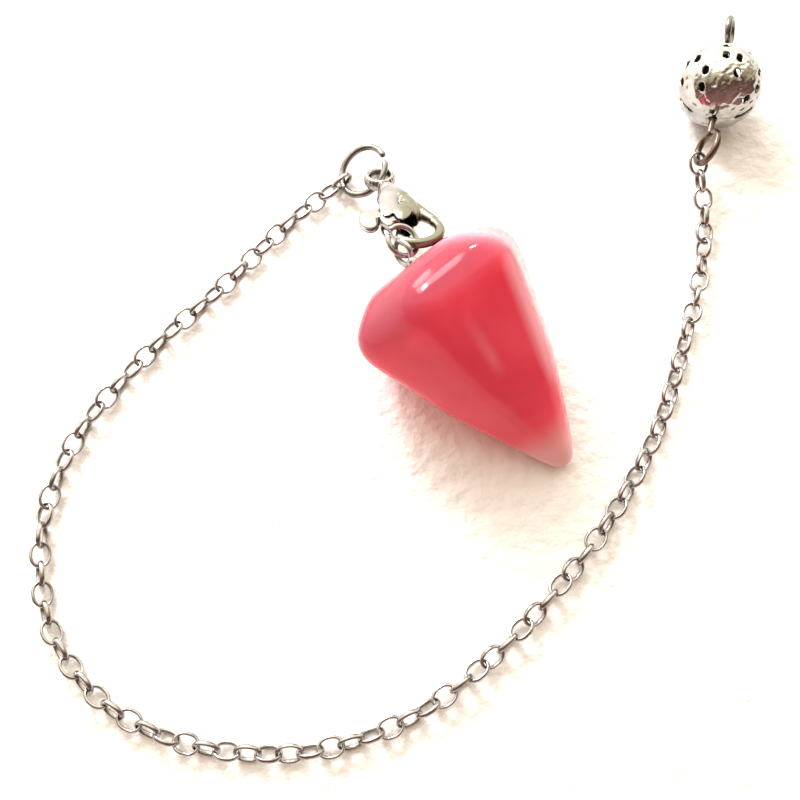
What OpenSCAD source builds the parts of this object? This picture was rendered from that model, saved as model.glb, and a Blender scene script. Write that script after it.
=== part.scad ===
// Pendulum pendant lying on a flat surface: a six-sided cherry-red stone point on a lobster clasp,
// a cable chain laid in a wide loop, and a hollow filigree ball as the handhold.
// Frame: origin under the middle of the whole piece, on the surface that it lies on, +Z up.

/* [Stone] */
// Width of the stone's shoulder across its corners
stone_w = 21; // [16:0.5:24]
// Length of the stone between its shoulder and the middle of its tip
stone_len = 21.8; // [18:0.2:28]
// Height of the bevelled crown over the shoulder
crown_h = 4.4; // [2.6:0.1:4.5]
// Width of the crown's flat top across its corners
crown_w = 16.6; // [14.6:0.5:18.1]
// Radius of the tumbled corners of the shoulder
stone_round = 3; // [2.4:0.1:3.6]
// Swell of the long edges over a straight line from shoulder to tip
stone_belly = 0.7; // [0:0.05:1]
// Radius of the blunt tip
tip_r = 1.5; // [1:0.05:2]
// Diameter of the hole in the crown that takes the peg
peg_bore_d = 1.3; // [1:0.1:1.8]

/* [Bail] */
// Distance from the peg's bend to the middle of the bail's eye
bail_reach = 1.6; // [1.5:0.05:1.8]
// Outer diameter of the bail's eye
bail_eye_d = 3.2; // [3:0.05:3.3]
// Thickness of the bail's wire
bail_wire = 0.62; // [0.4:0.02:0.7]

/* [Clasp] */
// Length from the middle of the clasp's eye to the middle of its hook
clasp_len = 12.1; // [11.8:0.1:12.4]
// Outer radius of the hook
hook_r = 3.05; // [2.8:0.05:3.3]
// Thickness of the hook's bar
hook_bar = 1.15; // [0.9:0.05:1.3]
// Outer diameter of the clasp's eye
clasp_eye_d = 3.5; // [3.3:0.1:4]
// Thickness of the eye's bar
clasp_eye_bar = 0.7; // [0.5:0.05:0.8]
// Diameter of the lever's pin
pin_d = 0.8; // [0.6:0.05:1]
// Thickness of the lever's tongue, which turns in the body's slot
lever_t = 1.1; // [0.8:0.05:1.3]
// Thickness of the lever's arm outside the slot
lever_arm_t = 2.2; // [1.6:0.1:2.6]

/* [Rings] */
// Outer diameter of the large ring between the clasp and the chain
ring_d = 6.9; // [6.6:0.1:7.3]
// Thickness of the large ring's wire
ring_wire = 0.8; // [0.6:0.05:0.9]
// Outer diameter of the small ring between the bail and the clasp
pendant_ring_d = 4.1; // [3.9:0.05:4.4]
// Thickness of the small ring's wire
pendant_ring_wire = 0.6; // [0.45:0.05:0.65]

/* [Chain] */
// Outer length of a link
link_len = 2.96; // [2.8:0.05:3.2]
// Outer width of a link
link_w = 2.3; // [2.1:0.05:2.5]
// Thickness of a link's wire
link_wire = 0.36; // [0.28:0.02:0.4]

/* [Ball] */
// Outer diameter of the filigree ball
ball_d = 10; // [9:0.25:12]
// Thickness of the ball's metal
ball_wall = 0.45; // [0.35:0.05:0.7]
// Thickness of the pin's wire
pin_wire = 0.8; // [0.6:0.05:0.9]
// Outer diameter of the pin's free loop
free_loop_d = 3.8; // [3.4:0.1:4.2]
// Outer diameter of the pin's loop that holds the chain
chain_loop_d = 4.7; // [4.4:0.1:5.2]

/* [Hidden] */
$fn = 48;

// Middle of the chain from the large ring to the ball's pin, and its lift off the surface
chain_route = [[-9.13, 22.6, 0.06], [-15.7, 16.7, 0], [-22.6, 9, 0], [-29.9, 1.5, 0], [-36.4, -6.8, 0],
    [-39.1, -12.5, 0], [-40.5, -18.5, 0], [-40.2, -24.7, 0], [-38.5, -30.4, 0], [-34.6, -35.6, 0],
    [-29.7, -39.2, 0], [-21.9, -41.9, 0], [-11.5, -42.3, 0], [-1.5, -39.3, 0], [7.2, -33.3, 0],
    [14.8, -25.8, 0], [21.5, -17.3, 0], [26.9, -7.9, 0], [31.3, 4.3, 0], [33.1, 10.3, 0], [34.1, 16.3, 0.25],
    [34.1, 19.1, 0.8], [33.8, 21.3, 1.5], [33.4, 23.6, 2.5]];

// Stone: a face lies on the surface, and the axis rises toward the crown
stone_heading = 130.7;
corner_r = stone_w / 2 - stone_round;
belly_at = 0.5;
face_r = corner_r * cos(30);
stone_pitch = atan(face_r / stone_len) + asin((stone_round - tip_r) / norm([face_r, stone_len]));
shoulder_z = stone_round + face_r * cos(stone_pitch);
crown_round = 3;
crown_top = crown_h;
peg_depth = 3;
peg_bend_z = crown_top + 0.3;
bail_lean = 31;
bail_turn = -68;
bail_eye = [bail_reach * sin(bail_lean), 0, peg_bend_z + bail_reach * cos(bail_lean)];

// Turn of a part by its heading, its pitch and its roll
function turned(v, heading, pitch, roll) =
    let (y = v.y * cos(roll) - v.z * sin(roll), z = v.y * sin(roll) + v.z * cos(roll),
        x = v.x * cos(pitch) - z * sin(pitch))
    [x * cos(heading) - y * sin(heading), x * sin(heading) + y * cos(heading), v.x * sin(pitch) + z * cos(pitch)];

// Large ring: it takes its place from the chain's first link, which stands on edge and props it up
ring_mid_r = ring_d / 2 - ring_wire / 2;
ring_rise = 29.7;
ring_roll = 3.1;
link_to_ring = 15.9;
ring_lift = 0.55;
ring_place = [chain_route[0].x + (ring_mid_r - 0.34) * cos(link_to_ring),
    chain_route[0].y + (ring_mid_r - 0.34) * sin(link_to_ring), ring_lift + ring_wire / 2
    + ring_mid_r * sqrt(pow(sin(ring_rise), 2) + pow(cos(ring_rise) * sin(ring_roll), 2))];
ring_cut = 0.25;
ring_cut_at = 14;

// Clasp: x runs from its eye to its hook, y to the hook's back, z up from its flat
clasp_heading = -68.6;
clasp_roll = -9.2;
hook_mid = [clasp_len, 0.45];
hook_path_r = hook_r - hook_bar / 2;
hook_tip_angle = -105;
pivot = [6.3, -1.0];
lever_slot = lever_t + 0.3;
slot_reach = 1.8;
slot_depth = 5;
eye_on_ring = -38;
clasp_eye_place = ring_place
    + turned((ring_mid_r - 0.15) * [cos(eye_on_ring), sin(eye_on_ring), 0], 0, ring_rise, ring_roll);

// Small ring: it hangs round the hook, and the bail's eye hangs in it
pendant_ring_rise = -25.6;
pendant_ring_roll = 0.8;
ring_on_hook = -59.6;
pendant_ring_cut_at = 160;
small_ring_on_clasp = [hook_mid.x, hook_mid.y, 0]
    + (hook_path_r + 0.04) * [cos(ring_on_hook), sin(ring_on_hook), 0];
pendant_ring_mid_r = pendant_ring_d / 2 - pendant_ring_wire / 2;
bail_in_ring = turned([-0.1, 0.1 - pendant_ring_mid_r, 0.38], 0, pendant_ring_rise, pendant_ring_roll);

// Height of the bail's eye over the surface sets the pitch of the clasp
bail_eye_z = shoulder_z + bail_eye.z * sin(stone_pitch) - bail_eye.x * cos(stone_pitch);
clasp_drop = small_ring_on_clasp.y * sin(clasp_roll);
clasp_rise = bail_eye_z - bail_in_ring.z - clasp_eye_place.z;
clasp_pitch = asin(clasp_rise / norm([small_ring_on_clasp.x, clasp_drop]))
    - atan2(clasp_drop, small_ring_on_clasp.x);
pendant_ring_place = clasp_eye_place + turned(small_ring_on_clasp, clasp_heading, clasp_pitch, clasp_roll);

// Stone takes its place under the bail's eye
bail_offset = bail_eye.z * cos(stone_pitch) + bail_eye.x * sin(stone_pitch);
shoulder_place = [pendant_ring_place.x + bail_in_ring.x - bail_offset * cos(stone_heading),
    pendant_ring_place.y + bail_in_ring.y - bail_offset * sin(stone_heading)];

// Ball and pin: the chain's loop hangs over the last link, and the ball lies on the surface
chain_loop_mid_r = chain_loop_d / 2 - pin_wire / 2;
free_loop_mid_r = free_loop_d / 2 - pin_wire / 2;
free_stem = 1.3;
free_loop_roll = 68;
chain_stem = 1.5;
ball_heading = 75;
chain_loop_roll = -70;
last_link_from_loop = [-0.8, -1.35];
pin_fit = 0.1;

module place(at, heading, pitch, roll) {
    translate(at) rotate([0, 0, heading]) rotate([0, -pitch, 0]) rotate([roll, 0, 0]) children();
}

module torus(outer_d, wire) {
    rotate_extrude() translate([outer_d / 2 - wire / 2, 0]) circle(d = wire);
}

// A wire ring with a cut through it at the given angle
module cut_ring(outer_d, wire, at) {
    gap_angle = ring_cut / (PI * outer_d) * 360;
    rotate([0, 0, at + gap_angle / 2])
        rotate_extrude(angle = 360 - gap_angle) translate([outer_d / 2 - wire / 2, 0]) circle(d = wire);
}

// Stone's own frame: z along the axis toward the crown, origin in the middle of the shoulder
module on_stone() {
    translate([shoulder_place.x, shoulder_place.y, shoulder_z])
        rotate([0, 90 - stone_pitch, stone_heading]) children();
}

module stone() color([0.86, 0.2, 0.24, 0.8]) on_stone() difference() {
    hull($fn = 32) {
        for (a = [30:60:330]) rotate([0, 0, a]) translate([corner_r, 0, 0]) sphere(stone_round, $fn = 32);
        // The two edges beside the face that it lies on stay straight
        for (a = [90, 150, 210, 270]) rotate([0, 0, a])
            translate([corner_r * (1 - belly_at) + stone_belly, 0, -stone_len * belly_at])
                sphere(stone_round + (tip_r - stone_round) * belly_at, $fn = 32);
        translate([0, 0, -stone_len]) sphere(tip_r, $fn = 32);
        for (a = [30:60:330]) rotate([0, 0, a])
            translate([crown_w / 2 - crown_round, 0, crown_top - crown_round]) sphere(crown_round, $fn = 24);
    }
    translate([0, 0, crown_top - peg_depth]) cylinder(d = peg_bore_d, h = peg_depth + 1);
}

module bail_peg() color([0.72, 0.72, 0.74]) on_stone() {
    eye_r = bail_eye_d / 2 - bail_wire / 2;
    peg_d = peg_bore_d - 0.1;
    translate([0, 0, crown_top - peg_depth + 0.1]) cylinder(d = peg_d, h = peg_bend_z - crown_top + peg_depth - 0.1);
    translate([0, 0, peg_bend_z]) sphere(d = peg_d);
    translate([0, 0, peg_bend_z]) rotate([0, bail_lean, 0]) {
        cylinder(d = 0.9, h = bail_reach - eye_r);
        translate([0, 0, bail_reach]) rotate([0, 90, bail_turn]) torus(bail_eye_d, bail_wire);
    }
}

module pendant_ring() color([0.75, 0.75, 0.77])
    place(pendant_ring_place, 0, pendant_ring_rise, pendant_ring_roll)
        cut_ring(pendant_ring_d, pendant_ring_wire, pendant_ring_cut_at);

module on_clasp() place(clasp_eye_place, clasp_heading, clasp_pitch, clasp_roll) children();

// Teardrop body with its eye, and the hook that springs from the body's back
module clasp_body() color([0.76, 0.76, 0.78]) on_clasp() difference() {
    back_start = hook_mid.x - 1.2;
    union() {
        torus(clasp_eye_d, clasp_eye_bar);
        hull() {
            translate([clasp_eye_d / 2 + 0.1, 0, 0]) sphere(0.75, $fn = 32);
            translate([pivot.x - 0.3, pivot.y + 1.5, 0]) sphere(1.5, $fn = 32);
            translate([pivot.x - 0.3, pivot.y + 0.1, 0]) sphere(1.4, $fn = 32);
        }
        hull() {
            translate([pivot.x - 0.3, pivot.y + 1.7, 0]) sphere(1.2, $fn = 32);
            translate([back_start, hook_mid.y + hook_path_r - 0.06, 0]) sphere(hook_bar / 2, $fn = 32);
        }
        translate([hook_mid.x, hook_mid.y, 0]) {
            rotate([0, 0, hook_tip_angle]) rotate_extrude(angle = 120 - hook_tip_angle)
                translate([hook_path_r, 0]) circle(d = hook_bar);
        }
    }
    // Slot that the lever turns in, and the pin's hole
    translate([pivot.x - slot_reach, pivot.y - slot_depth, -lever_slot / 2])
        cube([slot_reach + slot_depth, slot_depth + 1.2, lever_slot]);
    translate([pivot.x, pivot.y, -3]) cylinder(d = pin_d + 0.1, h = 6);
}

module clasp_pin() color([0.7, 0.7, 0.72]) on_clasp()
    translate([pivot.x, pivot.y, -1.3]) cylinder(d = pin_d, h = 2.6);

// Tongue on the pin, an arm as thick as the clasp, and the thumb tab
module clasp_lever() color([0.74, 0.74, 0.76]) on_clasp() difference() {
    arm_end = [[hook_mid.x - 1.3, -2.35], [hook_mid.x - 1.25, -1.15]];
    union() {
        plate(lever_t) union() {
            translate(pivot) circle(r = 0.95);
            polygon([pivot + [-0.6, -0.7], pivot + [0.5, -1.3], pivot + [0.6, -3.1], pivot + [0.9, -3.45],
                pivot + [2.3, -3.5], pivot + [2.6, -3.1], pivot + [2.4, -1.6], pivot + [2.2, -0.3],
                pivot + [0.6, 0.7]]);
        }
        plate(lever_arm_t)
            polygon([pivot + [1.65, -1.5], pivot + [2.4, -1.7], arm_end[0], arm_end[1], pivot + [1.65, -0.3]]);
    }
    translate([pivot.x, pivot.y, -2]) cylinder(d = pin_d + 0.1, h = 4);
}

module plate(thickness) {
    translate([0, 0, -thickness / 2]) linear_extrude(thickness) children();
}

module clasp_ring() color([0.75, 0.75, 0.77])
    place(ring_place, 0, ring_rise, ring_roll) cut_ring(ring_d, ring_wire, ring_cut_at);

// Chain: a smooth curve through the route's points, with links at even steps along it
function curve_at(i, t) =
    let (n = len(chain_route) - 1, a = chain_route[max(i - 1, 0)], b = chain_route[i], c = chain_route[i + 1],
        d = chain_route[min(i + 2, n)])
    0.5 * (2 * b + (c - a) * t + (2 * a - 5 * b + 4 * c - d) * t * t + (3 * b - a - 3 * c + d) * t * t * t);
curve = [for (i = [0:len(chain_route) - 2]) for (k = [0:11]) curve_at(i, k / 12), chain_route[len(chain_route) - 1]];
reach = [for (i = 0, s = 0; i < len(curve); s = s + (i + 1 < len(curve) ? norm(curve[i + 1] - curve[i]) : 0),
    i = i + 1) s];
route_len = reach[len(reach) - 1];
x_at = [for (i = [0:len(curve) - 1]) [reach[i], curve[i].x]];
y_at = [for (i = [0:len(curve) - 1]) [reach[i], curve[i].y]];
lift_at = [for (i = [0:len(curve) - 1]) [reach[i], curve[i].z]];
link_count = round(route_len / (link_len - 2 * link_wire - 0.14)) + 1;
pitch = route_len / (link_count - 1);

// Runs of links that roll alike: first link, its roll, and the turn from each link to the next
roll_runs = [[0, 90, 0], [1, 30, 120], [2, 150, 60], [5, 330, 60], [7, 150, 120], [9, 150, 60], [27, 150, 90],
    [37, 0, 60], [41, 60, 84], [47, 0, 60], [54, 90, 60], [64, 0, 60], [65, 60, 87], [76, 120, 110], [79, 90, 72],
    [link_count - 4, 90, 90]];

function route_point(s) = [lookup(s, x_at), lookup(s, y_at), lookup(s, lift_at)];
function run_of(i) = max([for (k = [0:len(roll_runs) - 1]) roll_runs[k][0] <= i ? k : 0]);
function roll_of(i) = let (r = roll_runs[run_of(i)]) r[1] + r[2] * (i - r[0]);
function rest_height(i) = 0.01 + link_wire / 2 + (link_w - link_wire) / 2 * abs(sin(roll_of(i)));
function link_height(i) = max([for (k = [max(i - 2, 0):min(i + 2, link_count - 1)]) rest_height(k)]);
function link_spot(i) = let (k = min(max(i, 0), link_count - 1)) route_point(k * pitch) + [0, 0, link_height(k)];

// One link: an oval of wire, swept along two half rounds
arc_steps = 5;
wire_sides = 5;
link_end = link_len / 2 - link_w / 2;
link_path = [for (side = [0, 1]) for (k = [0:arc_steps]) let (a = -90 + 180 * side + 180 * k / arc_steps)
    [a, (side == 0 ? link_end : -link_end)]];
link_points = [for (p = link_path) for (j = [0:wire_sides - 1])
    let (b = 360 * j / wire_sides, r = (link_w - link_wire) / 2 + link_wire / 2 * cos(b))
    [p[1] + r * cos(p[0]), r * sin(p[0]), link_wire / 2 * sin(b)]];
link_faces = [for (i = [0:len(link_path) - 1]) for (j = [0:wire_sides - 1])
    let (i2 = (i + 1) % len(link_path), j2 = (j + 1) % wire_sides)
    [i * wire_sides + j, i * wire_sides + j2, i2 * wire_sides + j2, i2 * wire_sides + j]];

chain_end = link_spot(link_count - 1);
chain_loop_reach = ball_d / 2 + chain_stem + chain_loop_d / 2;
ball_place = [chain_end.x, chain_end.y, 0] - [last_link_from_loop.x, last_link_from_loop.y, -ball_d / 2]
    + chain_loop_reach * [cos(ball_heading), sin(ball_heading), 0];

module chain() color([0.68, 0.68, 0.7]) for (i = [0:link_count - 1]) {
    ahead = link_spot(i + 1) - link_spot(i - 1);
    place(link_spot(i), atan2(ahead.y, ahead.x), atan2(ahead.z, norm([ahead.x, ahead.y])), roll_of(i))
        polyhedron(link_points, link_faces);
}

// Ball's own frame: x along the pin toward the free loop, origin in the middle of the ball
module on_ball() place(ball_place, ball_heading, 0, 0) children();

module eye_pin() color([0.55, 0.52, 0.5]) on_ball() {
    free_end = ball_d / 2 + free_stem;
    chain_end = ball_d / 2 + chain_stem;
    translate([-chain_end - 0.2, 0, 0]) rotate([0, 90, 0]) cylinder(d = pin_wire, h = chain_end + free_end + 0.4);
    translate([free_end + free_loop_d / 2, 0, 0]) rotate([free_loop_roll, 0, 0]) torus(free_loop_d, pin_wire);
    translate([-chain_end - chain_loop_d / 2, 0, 0]) rotate([chain_loop_roll, 0, 0]) torus(chain_loop_d, pin_wire);
}

// Rows of piercings: latitude, count, length and width as shares of the ball's diameter, turn of the row
pierced_rows = [[54, 6, 0.12, 0.08, 0], [32, 8, 0.11, 0.08, 34], [8, 6, 0.115, 0.08, 10],
    [8, 6, 0.115, 0.08, -9], [-16, 8, 0.11, 0.08, 11], [-38, 4, 0.11, 0.08, -41], [-45, 2, 0.26, 0.05, 82]];

module filigree_ball() color([0.74, 0.74, 0.72]) on_ball() rotate([0, 90, 0]) difference() {
    sphere(d = ball_d, $fn = 96);
    sphere(d = ball_d - 2 * ball_wall, $fn = 96);
    cylinder(d = pin_wire + 2 * pin_fit, h = ball_d + 2, center = true);
    for (row = pierced_rows, k = [0:row[1] - 1])
        rotate([0, 0, row[4] + 360 * k / row[1]]) rotate([0, 90 - row[0], 0])
            translate([0, 0, ball_d / 4]) oval_bar(row[2] * ball_d, row[3] * ball_d, ball_d / 2);
}

module oval_bar(long, short, h) {
    linear_extrude(h) union() {
        for (end = [-1, 1]) translate([end * (long - short) / 2, 0]) circle(d = short);
        square([long - short, short], center = true);
    }
}

stone();
bail_peg();
pendant_ring();
clasp_body();
clasp_lever();
clasp_pin();
clasp_ring();
chain();
eye_pin();
filigree_ball();
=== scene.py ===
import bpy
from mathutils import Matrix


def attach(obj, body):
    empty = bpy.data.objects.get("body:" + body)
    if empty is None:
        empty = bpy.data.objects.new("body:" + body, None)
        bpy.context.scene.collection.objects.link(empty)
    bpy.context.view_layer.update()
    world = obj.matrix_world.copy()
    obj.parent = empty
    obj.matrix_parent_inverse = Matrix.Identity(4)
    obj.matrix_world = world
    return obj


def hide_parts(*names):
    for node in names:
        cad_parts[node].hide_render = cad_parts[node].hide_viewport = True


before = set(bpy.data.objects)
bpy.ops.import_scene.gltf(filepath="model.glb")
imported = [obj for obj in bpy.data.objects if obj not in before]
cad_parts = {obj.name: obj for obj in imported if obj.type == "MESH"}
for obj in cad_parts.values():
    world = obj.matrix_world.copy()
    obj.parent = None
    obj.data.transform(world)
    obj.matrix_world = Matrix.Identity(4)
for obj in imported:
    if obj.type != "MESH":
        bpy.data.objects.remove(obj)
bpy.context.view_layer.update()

from math import atan2, cos, pi, radians, sin, tau

import bmesh
import bpy
import numpy as np
from mathutils import Matrix, Vector, noise

# Camera
# The piece lies flat and is seen from above its lower edge, 72 degrees over the surface.
# The lens is that of a phone held about 11 cm away.
mm = 0.001
view_target = Vector((-2.1, -4.8, 0)) * mm
view_height = radians(72)
view_distance = 109 * mm
lens = bpy.data.cameras.new("camera")
lens.lens = 43.2
lens.sensor_width = 36
lens.clip_start = 5 * mm
camera = bpy.data.objects.new("camera", lens)
camera.location = view_target + view_distance * Vector((0, -cos(view_height), sin(view_height)))
camera.rotation_euler = (pi / 2 - view_height, 0, 0)
bpy.context.scene.collection.objects.link(camera)
bpy.context.scene.camera = camera

# Stone
# A tumbled and polished point of cherry-red translucent quartz with six faces and a low crown.
# It is ground on a wheel, so each face is a little crowned and every edge is soft.
weld = 0.0005 * mm


def solid_copy(node, name, voxel, rounds, filled=False, lumps=(), slots=()):
    """A node's solid with any lumps added and slots kept open, rebuilt in small even faces that are
    smoothed for a number of rounds, so that its edges turn soft. A filled one has no holes."""
    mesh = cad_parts[node].data.copy()
    bm = bmesh.new()
    bm.from_mesh(mesh)
    bmesh.ops.remove_doubles(bm, verts=bm.verts, dist=weld)
    if filled:
        bmesh.ops.delete(bm, geom=bm.edges[:], context="EDGES_FACES")
        hull = bmesh.ops.convex_hull(bm, input=bm.verts)
        inner = {v for v in hull["geom_interior"] + hull["geom_unused"]
                 if isinstance(v, bmesh.types.BMVert)}
        bmesh.ops.delete(bm, geom=list(inner))
    for lump in lumps:
        bmesh.ops.create_uvsphere(bm, u_segments=24, v_segments=16, radius=1, matrix=lump)
    bm.to_mesh(mesh)
    bm.free()
    raw = bpy.data.objects.new(name + "_raw", mesh)
    bpy.context.scene.collection.objects.link(raw)
    remesh = raw.modifiers.new("voxels", "REMESH")
    remesh.mode = "VOXEL"
    remesh.voxel_size = voxel
    boxes = []
    for slot in slots:
        box_mesh = bpy.data.meshes.new(name + "_slot")
        box_bm = bmesh.new()
        bmesh.ops.create_cube(box_bm, size=1, matrix=slot)
        box_bm.to_mesh(box_mesh)
        box_bm.free()
        box = bpy.data.objects.new(name + "_slot", box_mesh)
        bpy.context.scene.collection.objects.link(box)
        boxes.append(box)
        cut = raw.modifiers.new("slot", "BOOLEAN")
        cut.operation = "DIFFERENCE"
        cut.object = box
    if slots:
        again = raw.modifiers.new("voxels again", "REMESH")
        again.mode = "VOXEL"
        again.voxel_size = voxel
    smooth = raw.modifiers.new("smooth", "SMOOTH")
    smooth.factor = 0.5
    smooth.iterations = rounds
    graph = bpy.context.evaluated_depsgraph_get()
    settled = bpy.data.meshes.new_from_object(raw.evaluated_get(graph))
    bpy.data.objects.remove(raw)
    for box in boxes:
        bpy.data.objects.remove(box)
    settled.name = name
    settled.materials.clear()
    settled.shade_smooth()
    piece = bpy.data.objects.new(name, settled)
    bpy.context.scene.collection.objects.link(piece)
    return piece


def fit_out(piece, body, slot, material, *nodes):
    """Gives a piece its material, the body that it moves with and the nodes that it stands for."""
    piece.data.materials.append(material)
    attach(piece, body)
    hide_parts(*nodes)


def new_material(name):
    """A new material, with its nodes, its links and its shader."""
    material = bpy.data.materials.new(name)
    material.use_nodes = True
    tree = material.node_tree
    return material, tree.nodes, tree.links, tree.nodes["Principled BSDF"]


def distance_along(nodes, links, origin, direction):
    """How far a point of the piece lies from a plane, in millimetres."""
    place = nodes.new("ShaderNodeTexCoord")
    offset = nodes.new("ShaderNodeVectorMath")
    offset.operation = "SUBTRACT"
    offset.inputs[1].default_value = origin * mm
    links.new(place.outputs["Object"], offset.inputs[0])
    project = nodes.new("ShaderNodeVectorMath")
    project.operation = "DOT_PRODUCT"
    project.inputs[1].default_value = direction / mm
    links.new(offset.outputs[0], project.inputs[0])
    return project.outputs["Value"]


def ramp(nodes, links, value, stops):
    """A colour ramp over a value: stops are (place, colour)."""
    node = nodes.new("ShaderNodeValToRGB")
    while len(node.color_ramp.elements) < len(stops):
        node.color_ramp.elements.new(1)
    for element, (at, colour) in zip(node.color_ramp.elements, stops):
        element.position = at
        element.color = (*colour, 1)
    links.new(value, node.inputs[0])
    return node.outputs[0]


def mapped(nodes, links, value, low, high):
    """Brings a value between two limits to 0 to 1."""
    node = nodes.new("ShaderNodeMapRange")
    node.interpolation_type = "SMOOTHSTEP"
    node.inputs["From Min"].default_value = low
    node.inputs["From Max"].default_value = high
    links.new(value, node.inputs["Value"])
    return node.outputs["Result"]


def mixed(nodes, links, factor, first, second):
    """Goes from the first colour to the second: each is a plain colour or another node's output."""
    node = nodes.new("ShaderNodeMix")
    node.data_type = "RGBA"
    links.new(factor, node.inputs[0])
    for socket, colour in ((node.inputs[6], first), (node.inputs[7], second)):
        if isinstance(colour, tuple):
            socket.default_value = (*colour, 1)
        else:
            links.new(colour, socket)
    return node.outputs[2]


shoulder = Vector((2.147, 3.894, 9.089))
stone_heading, stone_pitch = radians(130.7), radians(20.37)
stone_axis = Vector((cos(stone_heading) * cos(stone_pitch),
                     sin(stone_heading) * cos(stone_pitch), sin(stone_pitch)))
stone_side = Vector((sin(stone_heading), -cos(stone_heading), 0))
stone_swell = 0.36 * mm
stone_lowest = 0.02 * mm
stone = solid_copy("stone", "stone_point", voxel=0.22 * mm, rounds=240, filled=True)
swell = [stone_swell * vert.normal for vert in stone.data.vertices]
for vert, outward in zip(stone.data.vertices, swell):
    vert.co += outward
    vert.co.z = max(vert.co.z, stone_lowest)

# The red is cloudy and deeper on the crown. On top of it is painted light: painted reflection makes
# the right face and a rim round the back paler, a painted highlight makes the tip pale, and one
# pale stripe of painted reflection runs along the top face. Distances from the shoulder's middle
# place the tones.
red, nodes, links, shader = new_material("cherry quartz with painted reflections")
veil = nodes.new("ShaderNodeTexNoise")
veil.inputs["Scale"].default_value = 100
veil.inputs["Detail"].default_value = 3
veil.inputs["Distortion"].default_value = 0.5
place = nodes.new("ShaderNodeTexCoord")
links.new(place.outputs["Object"], veil.inputs["Vector"])
body_red = ramp(nodes, links, veil.outputs["Fac"], [
    (0.3, (0.8, 0.064, 0.118)), (0.5, (0.86, 0.086, 0.146)), (0.7, (0.92, 0.125, 0.18))])
across = distance_along(nodes, links, shoulder, stone_side)
along = distance_along(nodes, links, shoulder, stone_axis)
to_right_face = distance_along(nodes, links, shoulder, Vector((0.77, -0.12, 0.63)))
to_back_rim = distance_along(nodes, links, shoulder, Vector((0.3, 0.85, -0.43)))
dark_crown = mapped(nodes, links, along, -2, 2.5)
crown_red = mixed(nodes, links, dark_crown, body_red, (0.36, 0.045, 0.078))
# Painted reflection: a pale stripe along the middle of the top face stands in for a window
# reflected there.
reflection_stripe_across = ramp(nodes, links, mapped(nodes, links, across, -5, 1), [
    (0.3, (0, 0, 0)), (0.48, (0.34, 0.34, 0.34)), (0.58, (0.34, 0.34, 0.34)), (0.76, (0, 0, 0))])
reflection_stripe_along = ramp(nodes, links, mapped(nodes, links, along, -13, 1), [
    (0.1, (0, 0, 0)), (0.3, (1, 1, 1)), (0.55, (0.8, 0.8, 0.8)), (0.9, (0, 0, 0))])
reflection_stripe = nodes.new("ShaderNodeMath")
reflection_stripe.operation = "MULTIPLY"
links.new(reflection_stripe_across, reflection_stripe.inputs[0])
links.new(reflection_stripe_along, reflection_stripe.inputs[1])
reflection_stripe_red = mixed(nodes, links, reflection_stripe.outputs[0], crown_red, (0.95, 0.34, 0.42))
# Painted reflection: the right face is painted paler pink, standing in for the bright room it
# reflects at a grazing angle.
painted_sheen_right = mapped(nodes, links, to_right_face, 9.8, 10.45)
right_sheen_red = mixed(nodes, links, painted_sheen_right, reflection_stripe_red, (0.86, 0.4, 0.49))
# Painted reflection and light: a duller, paler band round the back rim stands in for the bright
# room reflected there and the light on the top.
painted_sheen_rim = ramp(nodes, links, mapped(nodes, links, to_back_rim, -2.4, 7.6), [
    (0, (0, 0, 0)), (0.18, (1, 1, 1)), (0.34, (1, 1, 1)), (0.72, (0.15, 0.15, 0.15))])
rim_sheen_red = mixed(nodes, links, painted_sheen_rim, right_sheen_red, (0.5, 0.18, 0.24))
# Painted highlight: the tip turns pale pink.
painted_tip_highlight = mapped(nodes, links, along, -16.5, -21.5)
tip_highlight_red = mixed(nodes, links, painted_tip_highlight, rim_sheen_red, (1.0, 0.52, 0.54))
links.new(tip_highlight_red, shader.inputs["Base Color"])
shader.inputs["Roughness"].default_value = 0.07
shader.inputs["IOR"].default_value = 1.45
shader.inputs["Specular IOR Level"].default_value = 0.22
shader.inputs["Transmission Weight"].default_value = 0.12
shader.inputs["Subsurface Weight"].default_value = 0.85
shader.inputs["Subsurface Radius"].default_value = (1.0, 0.3, 0.3)
shader.inputs["Subsurface Scale"].default_value = 5 * mm
fit_out(stone, "root", "red_stone", red, "stone")

# Bail
# A nickel-plated peg glued into the stone's crown, with a small round eye soldered on its end.
# The plating is bright, with fine scratches from wear.


def handling_wear():
    """Node group: fine scratches and cloudy patches that handling leaves on plated metal."""
    group = bpy.data.node_groups.new("handling wear", "ShaderNodeTree")
    for way, sockets in (("INPUT", ("Fineness", "Polish", "Dulling")),
                         ("OUTPUT", ("Roughness", "Height", "Patches"))):
        for socket in sockets:
            group.interface.new_socket(socket, in_out=way, socket_type="NodeSocketFloat")
    nodes, links = group.nodes, group.links
    given, result = nodes.new("NodeGroupInput"), nodes.new("NodeGroupOutput")
    place = nodes.new("ShaderNodeTexCoord")
    cloud = nodes.new("ShaderNodeTexNoise")
    cloud.inputs["Detail"].default_value = 4
    scratch = nodes.new("ShaderNodeTexNoise")
    scratch.inputs["Detail"].default_value = 6
    stretch = nodes.new("ShaderNodeVectorMath")
    stretch.operation = "MULTIPLY"
    stretch.inputs[1].default_value = (1, 5, 2)
    links.new(place.outputs["Object"], cloud.inputs["Vector"])
    links.new(place.outputs["Object"], stretch.inputs[0])
    links.new(stretch.outputs[0], scratch.inputs["Vector"])
    links.new(given.outputs["Fineness"], cloud.inputs["Scale"])
    links.new(given.outputs["Fineness"], scratch.inputs["Scale"])
    dull = nodes.new("ShaderNodeMath")
    dull.operation = "MULTIPLY_ADD"
    links.new(cloud.outputs["Fac"], dull.inputs[0])
    links.new(given.outputs["Dulling"], dull.inputs[1])
    links.new(given.outputs["Polish"], dull.inputs[2])
    links.new(dull.outputs[0], result.inputs["Roughness"])
    links.new(scratch.outputs["Fac"], result.inputs["Height"])
    links.new(cloud.outputs["Fac"], result.inputs["Patches"])
    return group


worn = handling_wear()


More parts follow.
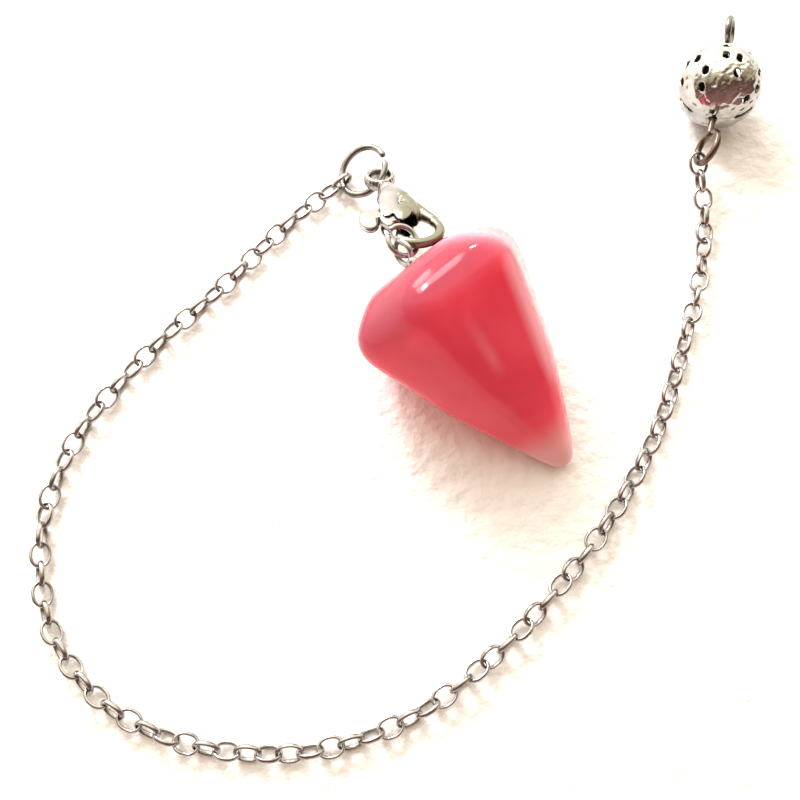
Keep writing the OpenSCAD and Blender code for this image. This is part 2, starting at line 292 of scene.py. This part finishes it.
def plated(name, dark, light, fineness, polish, dulling, depth, tinge=None):
    """Plated metal: its two tones meet in cloudy patches, and the scratches are a shallow bump.
    A tinge is a place, a direction, how far along it the other tone starts and is full, in
    millimetres, and that tone."""
    material, nodes, links, shader = new_material(name)
    wear = nodes.new("ShaderNodeGroup")
    wear.node_tree = worn
    wear.inputs["Fineness"].default_value = fineness
    wear.inputs["Polish"].default_value = polish
    wear.inputs["Dulling"].default_value = dulling
    tone = ramp(nodes, links, wear.outputs["Patches"], [(0.35, dark), (0.65, light)])
    if tinge:
        origin, direction, near, far, colour = tinge
        reach = mapped(nodes, links, distance_along(nodes, links, origin, direction), near, far)
        tone = mixed(nodes, links, reach, tone, colour)
    links.new(tone, shader.inputs["Base Color"])
    links.new(wear.outputs["Roughness"], shader.inputs["Roughness"])
    bump = nodes.new("ShaderNodeBump")
    bump.inputs["Distance"].default_value = depth
    links.new(wear.outputs["Height"], bump.inputs["Height"])
    links.new(bump.outputs["Normal"], shader.inputs["Normal"])
    shader.inputs["Metallic"].default_value = 1
    return material


steel = plated("bright plating", (0.34, 0.332, 0.32), (0.42, 0.41, 0.395),
               fineness=500, polish=0.17, dulling=0.08, depth=0.002 * mm)
bail = solid_copy("bail_peg", "bail", voxel=0.06 * mm, rounds=3)
fit_out(bail, "root", "steel", steel, "bail_peg")

# Jump rings
# Two rings of round wire, each cut and pushed shut: the small one holds the bail in the clasp's
# hook, and the large one joins the clasp's eye to the chain.


def wire(name, path, radius, sides):
    """Round wire along a path of points, with domed ends."""
    points = [Vector(p) for p in path]
    start, end = (points[0] - points[1]).normalized(), (points[-1] - points[-2]).normalized()
    dome = [(radius * sin(a), radius * cos(a)) for a in (radians(30), radians(60), radians(85))]
    points = ([points[0] + start * out for out, _ in reversed(dome)] + points
              + [points[-1] + end * out for out, _ in dome])
    radii = [r for _, r in reversed(dome)] + [radius] * len(path) + [r for _, r in dome]
    last = len(points) - 1
    bm = bmesh.new()
    side = None
    rings = []
    for i, point in enumerate(points):
        ahead = (points[min(i + 1, last)] - points[max(i - 1, 0)]).normalized()
        if side is None:
            side = ahead.orthogonal().normalized()
        side = (side - ahead * side.dot(ahead)).normalized()
        up = ahead.cross(side)
        spokes = [cos(tau * k / sides) * side + sin(tau * k / sides) * up for k in range(sides)]
        rings.append([bm.verts.new(point + radii[i] * spoke) for spoke in spokes])
    for first, second in zip(rings, rings[1:]):
        for k in range(sides):
            bm.faces.new((first[k], first[(k + 1) % sides], second[(k + 1) % sides], second[k]))
    bm.faces.new(list(reversed(rings[0])))
    bm.faces.new(rings[-1])
    mesh = bpy.data.meshes.new(name)
    bm.to_mesh(mesh)
    bm.free()
    mesh.shade_smooth()
    piece = bpy.data.objects.new(name, mesh)
    bpy.context.scene.collection.objects.link(piece)
    return piece


def turned(at, heading, pitch, roll):
    """The same placing as in the part's source: a heading, a pitch and a roll, in degrees."""
    return (Matrix.Translation(Vector(at) * mm) @ Matrix.Rotation(radians(heading), 4, "Z")
            @ Matrix.Rotation(radians(-pitch), 4, "Y") @ Matrix.Rotation(radians(roll), 4, "X"))


ring_steps, ring_sides = 72, 20
half_gap = 0.13


def jump_ring(name, place, mid_radius, wire_radius, cut_at):
    """A ring of round wire, with its radii in millimetres and the angle of its cut in degrees. The
    domed ends of the wire take up some of its length on both sides of the cut."""
    cut, half_cut, dome = radians(cut_at), half_gap / mid_radius, wire_radius / mid_radius
    angles = [cut + half_cut + (tau - 2 * half_cut) * i / ring_steps for i in range(ring_steps + 1)]
    path = [place @ (Vector((cos(a), sin(a), 0)) * mid_radius * mm) for a in angles
            if cut + half_cut + dome <= a <= cut + tau - half_cut - dome]
    return wire(name, path, wire_radius * mm, ring_sides)


ring_steel = plated("ring steel", (0.16, 0.145, 0.135), (0.29, 0.27, 0.255),
                    fineness=700, polish=0.14, dulling=0.16, depth=0.004 * mm)
large_ring = jump_ring("large_jump_ring", turned((-6.524, 23.342, 2.468), 0, 29.7, 3.1),
                       mid_radius=3.05, wire_radius=0.4, cut_at=14)
fit_out(large_ring, "root", "steel", ring_steel, "clasp_ring")
small_ring = jump_ring("small_jump_ring", turned((-1.815, 10.082, 10.065), 0, -25.6, 0.8),
                       mid_radius=1.75, wire_radius=0.3, cut_at=160)
fit_out(small_ring, "root", "steel", steel, "pendant_ring")

# Lobster clasp
# A cast clasp, tumbled bright: its body with eye and hook, the rivet, and the lever with its
# thumb tab, which a hidden spring holds shut against the hook.
on_clasp = turned((-4.491, 21.56, 3.516), -68.6, 28.137, -9.2)


def clasp_lump(centre, size, heading=0):
    """Where a lump or a slot lies, in millimetres on the clasp: x runs from its eye to its hook, y
    away from its thumb tab and z through it. The size is a lump's radii or a slot's sides."""
    return (on_clasp @ Matrix.Translation(Vector(centre) * mm)
            @ Matrix.Rotation(radians(heading), 4, "Z")
            @ Matrix.Diagonal((*(Vector(size) * mm), 1)))


collar_radius, collar_lumps = 1.47, 24
collar = []
for i in range(collar_lumps):
    turn = tau * i / collar_lumps
    collar.append(clasp_lump((collar_radius * cos(turn), collar_radius * sin(turn), 0),
                             (0.42, 0.42, 0.75)))
cheeks = [clasp_lump((7.6, 0.85, 0), (2.9, 1.25, 1.5)), clasp_lump((3.6, -0.1, 0), (2.0, 1.1, 1.3))]
for side in (-1, 1):
    cheeks += [clasp_lump((7.0, -1.25, 1.15 * side), (3.6, 1.15, 0.5), -20),
               clasp_lump((9.6, -0.35, 1.05 * side), (2.1, 1.15, 0.65), -24)]
tongue_slot = clasp_lump((7.9, -2.5, 0), (6.8, 7, 1.4))
arm_slot = clasp_lump((9.1, -3.4, 0), (4.7, 5, 2.6))
arm_swing = clasp_lump((9.86, -1.02, 0), (4.4, 2.6, 2.6), 23)
clasp_body = solid_copy("clasp_body", "lobster_clasp", voxel=0.07 * mm, rounds=8,
                        lumps=collar + cheeks, slots=[tongue_slot, arm_slot, arm_swing])
# Painted reflection and shade: the body's lobe, on the side away from its thumb tab, is painted a
# dim warm tone in place of the window's bright reflection.
lobe_edge = on_clasp @ (Vector((9, -1.1, 1)) * mm)
lobe_side = (on_clasp.to_3x3() @ Vector((0.3, 1, 0))).normalized()
steel_with_painted_lobe_tone = plated("plating with painted lobe reflection", (0.33, 0.322, 0.31), (0.41, 0.4, 0.385),
                     fineness=500, polish=0.17, dulling=0.08, depth=0.002 * mm,
                     tinge=(lobe_edge / mm, lobe_side, -0.2, 0.9, (0.22, 0.212, 0.155)))
fit_out(clasp_body, "root", "steel", steel_with_painted_lobe_tone, "clasp_body")
thumb_tab = [clasp_lump((8.9, -1.0, 0), (2.0, 0.85, 0.58))]
for side in (-1, 1):
    thumb_tab += [clasp_lump((8.45, -4.0, 0.28 * side), (1.9, 1.15, 0.36), -8),
                  clasp_lump((9.45, -2.15, 0.8 * side), (1.9, 0.85, 0.36), -10)]
clasp_lever = solid_copy("clasp_lever", "thumb_lever", voxel=0.06 * mm, rounds=24,
                         lumps=thumb_tab)
fit_out(clasp_lever, "lever", "steel", steel, "clasp_lever")
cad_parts["clasp_pin"].data.materials.clear()
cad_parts["clasp_pin"].data.materials.append(steel)

# Chain
# Cable chain of steel wire, a little broader than it is thick: plain oval links, each closed
# round the next one. Every link lies where the part's own chain has it.


def loose_links():
    """The corner points of each link of the part's own chain."""
    bm = bmesh.new()
    bm.from_mesh(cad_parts["chain"].data)
    bmesh.ops.remove_doubles(bm, verts=bm.verts, dist=weld)
    seen, found = set(), []
    for start in bm.verts:
        if start in seen:
            continue
        group, stack = [], [start]
        seen.add(start)
        while stack:
            vert = stack.pop()
            group.append(vert.co[:])
            for edge in vert.link_edges:
                other = edge.other_vert(vert)
                if other not in seen:
                    seen.add(other)
                    stack.append(other)
        found.append(np.array(group))
    bm.free()
    return found


wire_thin, wire_broad = 0.38 * mm, 0.56 * mm
half_long, half_wide = 1.3 * mm, 0.97 * mm
path_steps, wire_sides = 28, 10
# A link's shape lies between straight sides with round ends, 0, and a plain ellipse, 1.
oval = 0.6
link_lowest = 0.005 * mm
corners, faces = [], []
for points in loose_links():
    middle = points.mean(0)
    _, _, axes = np.linalg.svd(points - middle, full_matrices=False)
    long_axis, wide_axis = axes[0], axes[1]
    normal = np.cross(long_axis, wide_axis)
    first = len(corners)
    for i in range(path_steps):
        turn = tau * (i + 0.5) / path_steps - pi / 2
        straight = (half_long - half_wide) * (1 if i < path_steps // 2 else -1)
        x = (1 - oval) * (half_wide * cos(turn) + straight) + oval * half_long * cos(turn)
        centre = middle + x * long_axis + half_wide * sin(turn) * wide_axis
        out = half_wide * cos(turn) * long_axis + half_long * sin(turn) * wide_axis
        out /= np.linalg.norm(out)
        for k in range(wire_sides):
            spin = tau * k / wire_sides
            corner = centre + wire_thin / 2 * cos(spin) * out + wire_broad / 2 * sin(spin) * normal
            corners.append((corner[0], corner[1], max(corner[2], link_lowest)))
    for i in range(path_steps):
        ahead = (i + 1) % path_steps
        for k in range(wire_sides):
            beside = (k + 1) % wire_sides
            faces.append((first + i * wire_sides + k, first + ahead * wire_sides + k,
                          first + ahead * wire_sides + beside, first + i * wire_sides + beside))
chain_mesh = bpy.data.meshes.new("cable_chain")
chain_mesh.from_pydata(corners, [], faces)
chain_mesh.validate()
chain_mesh.shade_smooth()
chain = bpy.data.objects.new("cable_chain", chain_mesh)
bpy.context.scene.collection.objects.link(chain)
chain_steel = plated("chain steel", (0.28, 0.265, 0.255), (0.48, 0.465, 0.455),
                     fineness=800, polish=0.06, dulling=0.16, depth=0.004 * mm)
fit_out(chain, "root", "chain_steel", chain_steel, "chain")

# Eye pin
# One length of darker wire through the ball, bent to a loop at each end. The upper loop is the
# free one, and the lower loop holds the chain's last link.
ball_place = turned((36.49, 33.498, 5), 75, 0, 0)
ball_radius = 5
pin_radius, pin_sides = 0.4, 18
free_loop, chain_loop = 1.5, 1.95
free_middle = ball_radius + 1.3 + free_loop + pin_radius
chain_middle = ball_radius + 1.5 + chain_loop + pin_radius
free_roll, chain_roll = radians(68), radians(-70)


def loop_point(middle, radius, angle, roll):
    """A point of a loop, in millimetres from the ball's middle, with x along the pin."""
    return (middle + radius * cos(angle), radius * sin(angle) * cos(roll),
            radius * sin(angle) * sin(roll))


loop_steps = 40
open_turn = radians(24)
bend = 0.3
turns = [(tau - open_turn) * i / loop_steps for i in range(loop_steps + 1)]
pin_path = [loop_point(free_middle, free_loop, -pi + open_turn + turn, free_roll) for turn in turns]
pin_path += [(free_middle - free_loop - bend, 0, 0), (0, 0, 0),
             (-chain_middle + chain_loop + bend, 0, 0)]
pin_path += [loop_point(-chain_middle, chain_loop, turn, chain_roll) for turn in turns]
pin = wire("eye_pin_wire", [ball_place @ (Vector(p) * mm) for p in pin_path], pin_radius * mm,
           pin_sides)
pin_axis = ball_place.to_3x3() @ Vector((1, 0, 0))
dark_steel = plated("oxidised wire", (0.085, 0.062, 0.045), (0.18, 0.138, 0.105),
                    fineness=700, polish=0.16, dulling=0.2, depth=0.005 * mm,
                    tinge=(ball_place.translation / mm, pin_axis, 2, 5, (0.2, 0.19, 0.18)))
fit_out(pin, "root", "dark_steel", dark_steel, "eye_pin")

# Filigree ball
# A hollow ball pressed from thin silver-coloured sheet, pierced with ovals and slits.
# The press leaves shallow ribs and dents, so it glitters unevenly.
ball = solid_copy("filigree_ball", "pierced_ball", voxel=0.1 * mm, rounds=3)
to_ball = ball_place.inverted()
rib_count = 18
rib_height, crinkle_depth = 0.1, 0.16
outer_skin, inner_skin = ball_radius - 0.3, ball_radius - 0.32
for vert in ball.data.vertices:
    local = (to_ball @ vert.co) / mm
    if local.length < outer_skin:
        continue
    latitude = atan2(local.x, Vector((local.y, local.z)).length)
    longitude = atan2(local.y, local.z) + 0.25 * sin(2 * latitude)
    fainter_above = 0.35 + 0.65 * (latitude < -0.2)
    ribs = (0.5 + 0.5 * cos(longitude * rib_count)) ** 3 * max(cos(latitude) - 0.25, 0)
    ribs *= fainter_above
    crinkles = noise.noise(local * 0.9) + 0.5 * noise.noise(local * 2.1)
    outward = rib_height * (ribs - 0.75) + crinkle_depth * min(crinkles, 0)
    vert.co = ball_place @ (local * (1 + outward / ball_radius) * mm)
silver = plated("stamped silver", (0.37, 0.36, 0.345), (0.55, 0.54, 0.52),
                fineness=500, polish=0.08, dulling=0.14, depth=0.02 * mm)
fit_out(ball, "ball", "filigree_silver", silver, "filigree_ball")
# Painted shade: the inside of the shell is rough and painted near black, standing in for the shade
# in the hollow ball.
inside, nodes, links, shader = new_material("rough inside painted dark as shade")
shader.inputs["Base Color"].default_value = (0.05, 0.04, 0.035, 1)
shader.inputs["Roughness"].default_value = 0.6
ball.data.materials.append(inside)
for face in ball.data.polygons:
    if ((to_ball @ face.center) / mm).length < inner_skin:
        face.material_index = 1

# Surface and light
# A sheet of white embossed paper under soft window light from behind the piece. The room in
# front is dim and warm, which gives the metal its brown reflections.
paper = bpy.data.objects.new("paper", bpy.data.meshes.new("paper"))
half_sheet = 2.0
paper.data.from_pydata([(-half_sheet, -half_sheet, 0), (half_sheet, -half_sheet, 0),
                        (half_sheet, half_sheet, 0), (-half_sheet, half_sheet, 0)],
                       [], [(0, 1, 2, 3)])
bpy.context.scene.collection.objects.link(paper)
white, nodes, links, shader = new_material("embossed paper")
shader.inputs["Base Color"].default_value = (0.9, 0.89, 0.875, 1)
shader.inputs["Roughness"].default_value = 0.8
shader.inputs["Specular IOR Level"].default_value = 0.1
emboss = nodes.new("ShaderNodeTexNoise")
emboss.inputs["Scale"].default_value = 540
emboss.inputs["Detail"].default_value = 3
place = nodes.new("ShaderNodeTexCoord")
links.new(place.outputs["Object"], emboss.inputs["Vector"])
bump = nodes.new("ShaderNodeBump")
bump.inputs["Distance"].default_value = 0.5 * mm
bump.inputs["Strength"].default_value = 0.9
links.new(emboss.outputs["Fac"], bump.inputs["Height"])
links.new(bump.outputs["Normal"], shader.inputs["Normal"])
paper.data.materials.append(white)

piece_middle = Vector((0.002, 0.004, 0.018))
for name, at, size, power, colour in (
        ("window", (-0.143, 0.242, 0.193), (0.15, 0.12), 0.68, (0.94, 0.96, 1)),
        ("pane", (-0.103, 0.179, 0.158), (0.035, 0.045), 0.3, (0.97, 0.98, 1)),
        ("low_pane", (-0.17, 0.278, 0.091), (0.1, 0.08), 0.28, (0.97, 0.98, 1)),
        ("lamp", (-0.05, 0.29, 0.15), (0.03, 0.03), 0.25, (0.97, 0.98, 1))):
    light = bpy.data.lights.new(name, "AREA")
    light.shape = "RECTANGLE"
    light.size, light.size_y = size
    light.energy = power
    light.color = colour
    lamp = bpy.data.objects.new(name, light)
    lamp.location = at
    lamp.rotation_euler = (Vector(at) - piece_middle).to_track_quat("Z", "Y").to_euler()
    bpy.context.scene.collection.objects.link(lamp)

world = bpy.data.worlds.new("room")
world.use_nodes = True
bpy.context.scene.world = world
nodes, links = world.node_tree.nodes, world.node_tree.links
place = nodes.new("ShaderNodeTexCoord")
toward_window = nodes.new("ShaderNodeVectorMath")
toward_window.operation = "DOT_PRODUCT"
toward_window.inputs[1].default_value = Vector((-0.2, 0.9, 0.35)).normalized()
links.new(place.outputs["Generated"], toward_window.inputs[0])
room = ramp(nodes, links, mapped(nodes, links, toward_window.outputs["Value"], -1, 1), [
    (0.0, (0.46, 0.23, 0.2)), (0.44, (0.15, 0.08, 0.07)), (0.56, (0.54, 0.44, 0.28)),
    (0.76, (0.8, 0.7, 0.48)), (0.88, (2.2, 2.05, 1.8))])
links.new(room, nodes["Background"].inputs["Color"])
nodes["Background"].inputs["Strength"].default_value = 1.15
bpy.context.scene.view_settings.view_transform = "Standard"
